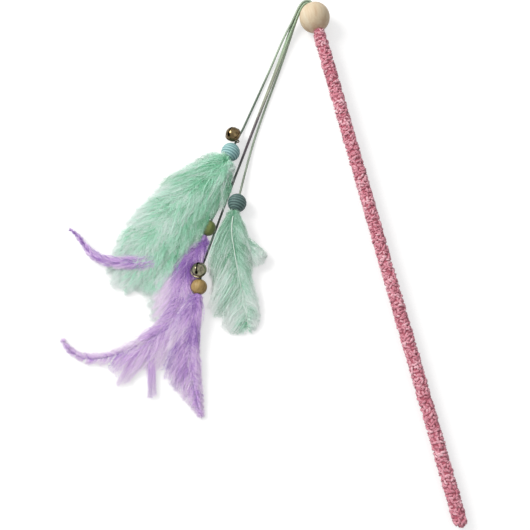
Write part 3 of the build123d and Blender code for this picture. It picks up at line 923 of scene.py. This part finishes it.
def feather(name, bends, left, right, layer, splay, length, count, seed, style,
            over=(), under=(), sink=((0, 0),), rise=0.0, locks=()):
    """A feather of separate barbs with fine down, out to the given half widths."""
    mark = name[-2:]
    key = mark[0]
    rng = np.random.default_rng(seed)
    quill = Quill(key, layer, splay, length, bends, sink, rise)
    made = [vane_barbs(quill, rng, style, 1, left, count // 2),
            vane_barbs(quill, rng, style, -1, right, count // 2),
            loose_barbs(quill, rng, style, left, right)]
    made += [lock_barbs(quill, rng, style, *lock) for lock in locks]
    paths, widths, tones = (np.concatenate(group) for group in zip(*made))
    paths = past_balls(paths, over, under)
    lowest = floor_gap + 0.3 * rng.random((len(paths), 1))
    paths[:, :, 2] = np.maximum(paths[:, :, 2], lowest)
    taper = 1.0 - 0.9 * ALONG**2.2
    parts = [ribbons(paths, widths[:, None] * taper, tones, rng.normal(0, 0.35, len(paths))),
             down_hairs(rng, paths, tones, style.down, style.down_length, [*over, *under])]
    share = np.linspace(0, 0.97, quill_steps)
    flat, _ = quill.follow(share)
    spine = quill.lift(flat, share, np.full(quill_steps, style.quill_at))
    spine[:, 2] = np.maximum(spine[:, 2], quill_floor_gap)
    spine = past_balls(spine, over, under)
    thick = style.quill * (1 - 0.82 * share**0.8)
    parts.append(strands(spine[None], thick[None], [0.5], quill_sides, kind=1))
    piece(name, parts, style.colours,
          "pendant_" + key, ["feather_" + mark])


def swung(spot, name, limit):
    """A spot where one limit of a joint carries it."""
    joint = joints[name]
    pivot = np.array(joint["pos_m"]) / M
    turn = Matrix.Rotation(math.radians(joint["range_deg"][limit]), 3, Vector(joint["axis"]))
    return pivot + np.array(turn @ Vector(spot - pivot))


# Beads, bells and a binding that feathers leave room for, at rest and at their limits
bead_room, bell_room, thread_room = 5.0, 5.2, 2.2
low, high = 0, 1
thread_c = beads["c"] + axes["c"] * 7.2
hard_c = [(beads["c"], bead_room), (thread_c, thread_room),
          (swung(beads["c"], "pendant_c_swing", low), bead_room),
          (swung(thread_c, "pendant_c_swing", low), thread_room)]
hard_d = [(beads["d"], bead_room), (bell_d, bell_room),
          (swung(bell_d, "bell_d_swing", high), bell_room)]
reach_d = [*hard_d, (swung(bell_d, "bell_d_swing", low), bell_room),
           (swung(beads["d"], "pendant_d_swing", high), bead_room),
           (swung(bell_d, "pendant_d_swing", high), bell_room)]

# Kinds of feather
plume = Style(colours=[mint, mint_quill], lean=[(0, 3), (0.5, 2.4), (1, 2)], flare=18,
              loose=1.7, waves=1.5, puff=1.9, clump=0.05, pinch=0.28, width=0.1, down=30,
              down_length=2.3, quill=0.22, quill_at=-1, fluff=1300, fluff_to=0.9,
              fades=[(0, -0.24), (0.4, -0.1), (0.75, 0.12), (0.9, 0.32), (1.05, 0.44)])
pale_plume = plume._replace(fades=[(0, -0.18), (0.3, 0.06), (0.7, 0.24), (1.05, 0.44)])
deep_plume = plume._replace(fades=[(0, -0.26), (0.15, -0.32), (0.45, -0.28), (0.65, -0.1),
                                   (0.8, 0.16), (0.96, 0.42)])
vaned = Style(colours=[mint_pale, white_quill],
              lean=[(0, 3), (0.4, 2), (0.8, 1), (1, 0.9)], flare=14, loose=0.7,
              waves=1.3, puff=0.9, clump=0.035, pinch=0.3, width=0.11, down=26, down_length=1.8,
              quill=0.38, quill_at=1, fluff=700, fluff_to=0.75,
              fades=[(0, -0.36), (0.3, -0.22), (0.5, 0.02), (0.7, 0.14), (1, 0.24)])
tuft = vaned._replace(colours=[mint_pale, mint_quill], quill=0.2, quill_at=-0.3, clump=0.09,
                      fluff=500, fluff_to=0.85,
                      fades=[(0, -0.2), (0.5, 0.1), (0.75, 0.36), (1, 0.46)])
sickle = Style(colours=[lilac, lilac_quill],
               lean=[(0, 2.6), (0.3, 1.9), (0.6, 1.4), (1, 1.3)], flare=14, loose=0.8,
               waves=1.3, puff=1.1, clump=0.03, pinch=0.36, width=0.1, down=22, down_length=1.7,
               quill=0.3, quill_at=-0.1, fluff=900, fluff_to=0.6,
               fades=[(0, -0.5), (0.1, -0.42), (0.2, -0.12), (0.3, -0.02), (0.5, 0.1),
                      (0.7, 0.2), (1, 0.06)])
fan = sickle._replace(down=24, fades=[(0, -0.2), (0.3, -0.1), (0.7, -0.02), (0.85, 0.08),
                                      (1, 0.1)])
hackle = sickle._replace(lean=[(0, 4), (1, 4)], flare=8, down=16, down_length=1.2,
                         fluff=200, fluff_to=0.7,
                         fades=[(0, -0.1), (0.5, -0.06), (0.8, -0.1), (1, -0.35)])

# The eight feathers: bends as (share, degrees), then half widths as (share, millimetres)
plume_sink = [(0, 0), (0.5, 0.2), (0.75, 2.2), (1, 4.6), (1.15, 5.4)]
feather("plume_a1", [(0.5, 3), (0.5, 5)],
        [(-0.04, 6), (0.1, 9), (0.3, 11), (0.6, 14), (0.85, 15), (1, 13), (1.1, 8)],
        [(-0.06, 5), (0, 9), (0.05, 12.6), (0.1, 13.8), (0.23, 14.6), (0.35, 16.6), (0.54, 16),
         (0.72, 15.2), (0.85, 12), (0.97, 7), (1.08, 2.5)],
        layer=1, splay=-25.5, length=94, count=2600, seed=21, style=pale_plume, sink=plume_sink)
feather("plume_a2", [(0.6, 2), (0.4, 4)],
        [(-0.04, 6), (0.1, 10), (0.25, 12.5), (0.5, 13), (0.75, 12), (0.9, 9), (0.96, 7),
         (1.03, 2)],
        [(-0.04, 6), (0.1, 10), (0.3, 15), (0.6, 18), (0.8, 17), (0.9, 15.5), (1, 13), (1.05, 7)],
        layer=0, splay=-16.5, length=100,
        count=2600, seed=22, style=plume, over=hard_c, sink=plume_sink)
feather("plume_a3", [(0.5, 2), (0.5, 12)],
        [(-0.04, 6), (0.09, 10.9), (0.22, 13.8), (0.3, 11.6), (0.41, 11.4), (0.5, 12), (0.6, 9),
         (0.75, 7), (0.88, 5), (0.95, 2)],
        [(-0.04, 6), (0.1, 9), (0.3, 13), (0.6, 17), (0.8, 18), (0.88, 15), (0.93, 10), (0.96, 4)],
        layer=-1, splay=-8.5, length=101,
        count=2400, seed=23, style=deep_plume, over=hard_c, sink=plume_sink,
        locks=[(0.68, 0.97, 2, 6, 160, 0.36), (0.74, 1.04, 6, 5, 140, 0.4)])
feather("mint_b1", [(0.2, 21), (0.5, 3), (0.3, -6)],
        [(-0.05, 3), (0.06, 6.4), (0.15, 8.6), (0.32, 9.9), (0.48, 9), (0.58, 7.2), (0.77, 9.2),
         (0.9, 8.2), (0.97, 6.2), (1.01, 2.5)],
        [(-0.05, 3.5), (0.07, 5.8), (0.24, 12.6), (0.46, 19.6), (0.58, 18), (0.68, 20.6),
         (0.78, 22.6), (0.82, 21.6), (0.85, 15.4), (0.94, 15.8), (1, 11.4), (1.02, 5)],
        layer=0.5, splay=1.4, length=73, count=3400, seed=24, style=vaned, under=reach_d)
feather("mint_b2", [(0.4, 30), (0.6, 28)],
        [(0, 3), (0.25, 4.4), (0.48, 2.2), (0.68, 1.8), (0.78, 2.8), (0.86, 3.4), (0.94, 2.6),
         (0.99, 1)],
        [(0, 3), (0.3, 6), (0.6, 9), (0.87, 9.9), (0.93, 6.6), (0.99, 2)],
        layer=-0.5, splay=19.4, length=35, count=1200, seed=25, style=tuft)
feather("lilac_c1", [(0.33, -13), (0.3, -22), (0.22, -54), (0.15, 25)],
        [(0, 3), (0.2, 4.6), (0.41, 5.4), (0.55, 4.4), (0.65, 2.8), (0.8, 1.8), (0.92, 1.2),
         (1.01, 0.4)],
        [(0, 3), (0.2, 3.6), (0.36, 3.8), (0.54, 4.6), (0.69, 3.2), (0.81, 2.8), (0.92, 1.4),
         (1.01, 0.4)],
        layer=-0.5, splay=-39.6, length=95, count=1300, seed=26, style=hackle, rise=0.8,
        sink=[(0, 1), (0.15, 1), (0.24, 0.2), (0.36, -1.5), (0.5, -2.6), (0.7, -2.3), (0.88, -1),
              (1, 0)])
feather("lilac_c2", [(0.14, 26), (0.16, 12), (0.1, -40), (0.3, -27), (0.1, -13), (0.2, -73)],
        [(-0.03, 4), (0.06, 7), (0.15, 8.5), (0.26, 9.5), (0.36, 13), (0.5, 16), (0.54, 19.4),
         (0.58, 20.9), (0.61, 17.4), (0.66, 15), (0.69, 19), (0.722, 19.4), (0.735, 11),
         (0.78, 4.8), (0.88, 2), (0.96, 1.2), (1, 0.6)],
        [(-0.02, 3), (0.06, 6), (0.15, 9), (0.26, 9.5), (0.36, 8), (0.42, 7), (0.46, 5.4),
         (0.52, 3.8), (0.61, 2.6), (0.7, 3.2), (0.85, 3.4), (0.95, 2.2), (1, 0.6)],
        layer=0.5, splay=-19.6, length=133, count=3000, seed=27, style=sickle, under=hard_d,
        sink=[(0, 1.2), (0.06, 0.8), (0.12, 0.3), (0.2, 0)],
        locks=[(0.53, 0.63, 31.6, 2, 160, -0.05), (0.04, 0.26, -16.5, 5, 120, 0.26),
               (0.1, 0.34, -15.5, 5, 120, 0.26), (0.16, 0.41, -13, 4, 140, 0.26),
               (0.22, 0.44, -9, 4, 140, 0.2), (0.58, 0.71, 17.5, 3.5, 140, 0.1),
               (0.44, 0.58, 18.5, 5, 160, 0.05)])
feather("lilac_d1", [(0.5, 12), (0.5, 19)],
        [(-0.05, 3), (0.1, 4), (0.23, 4.2), (0.41, 4.4), (0.6, 4.9), (0.75, 5.2), (0.9, 3.6),
         (1.02, 1)],
        [(-0.05, 5), (0.15, 9.6), (0.31, 12.6), (0.45, 14.6), (0.55, 16.2), (0.67, 16.8),
         (0.71, 14.2), (0.76, 11), (0.89, 5.6), (1.02, 1.2)],
        layer=0, splay=-3.8, length=70, count=3000, seed=28, style=fan)

# Finishes of the CAD pieces that stay
finishes = {"tip_ball": ball_wood, "stick_core": dowel_wood, "bead_a": pale_blue, "bead_b": teal,
            "bead_c": mustard_c, "bead_d": mustard_d, "bell_pellet_a": steel,
            "bell_pellet_d": steel, "bell_cup_a": brass, "bell_cap_a": brass,
            "bell_cup_d": pale_brass, "bell_cap_d": pale_brass}
for name, finish in finishes.items():
    mesh = nodes[name].data
    mesh.materials.clear()
    mesh.materials.append(finish)

# Floor: matt, and raised to white for the rays that show the background
floor_half, floor_z, floor_glow = 3, -0.0001, 0.58
floor_mesh = bpy.data.meshes.new("floor")
floor_mesh.from_pydata([(x * floor_half, y * floor_half, floor_z)
                        for x, y in ((-1, -1), (1, -1), (1, 1), (-1, 1))], [], [(0, 1, 2, 3)])
floor = placed("floor", floor_mesh)
floor_material = bpy.data.materials.new("floor")
ground = Nodes(floor_material)
ground.tree.nodes.remove(ground.tree.nodes["Principled BSDF"])
matt = ground.node("BsdfDiffuse", {"Color": (0.5, 0.5, 0.5, 1)})
strength = ground.maths("MULTIPLY", ground.shown(0.0), floor_glow)
glow = ground.node("Emission", {"Strength": strength})
both = ground.node("AddShader", {0: matt.outputs[0], 1: glow.outputs[0]})
ground.feed(ground.tree.nodes["Material Output"].inputs["Surface"], both.outputs[0])
floor_mesh.materials.append(floor_material)

# A room lit from the upper left
light_side = (-0.55, 0.6, 0.58)
world = bpy.data.worlds.new("studio")
room = Nodes(world)
facing = room.vector("DOT_PRODUCT", room.node("TexCoord").outputs["Generated"], light_side)
bright = room.node("MapRange", {"Value": facing, "From Min": -0.6, "From Max": 0.9,
                                "To Min": 0.12, "To Max": 0.9})
sky = room.tree.nodes["Background"]
sky.inputs["Color"].default_value = (0.99, 0.995, 1, 1)
room.feed(sky.inputs["Strength"], room.shown(bright.outputs["Result"]))
bpy.context.scene.world = world


def area_light(name, place, size, power, colour):
    data = bpy.data.lights.new(name, "AREA")
    data.shape = "DISK"
    data.size = size
    data.energy = power
    data.color = colour
    aimed(placed(name, data), place, (0.02, 0, 0))


area_light("key", (-0.5, 0.6, 0.72), 0.5, 7.2, (1.0, 0.98, 0.95))
area_light("fill", (0.6, -0.6, 0.9), 1.0, 1.0, (0.96, 0.98, 1.0))

bpy.context.scene.view_settings.view_transform = "Standard"
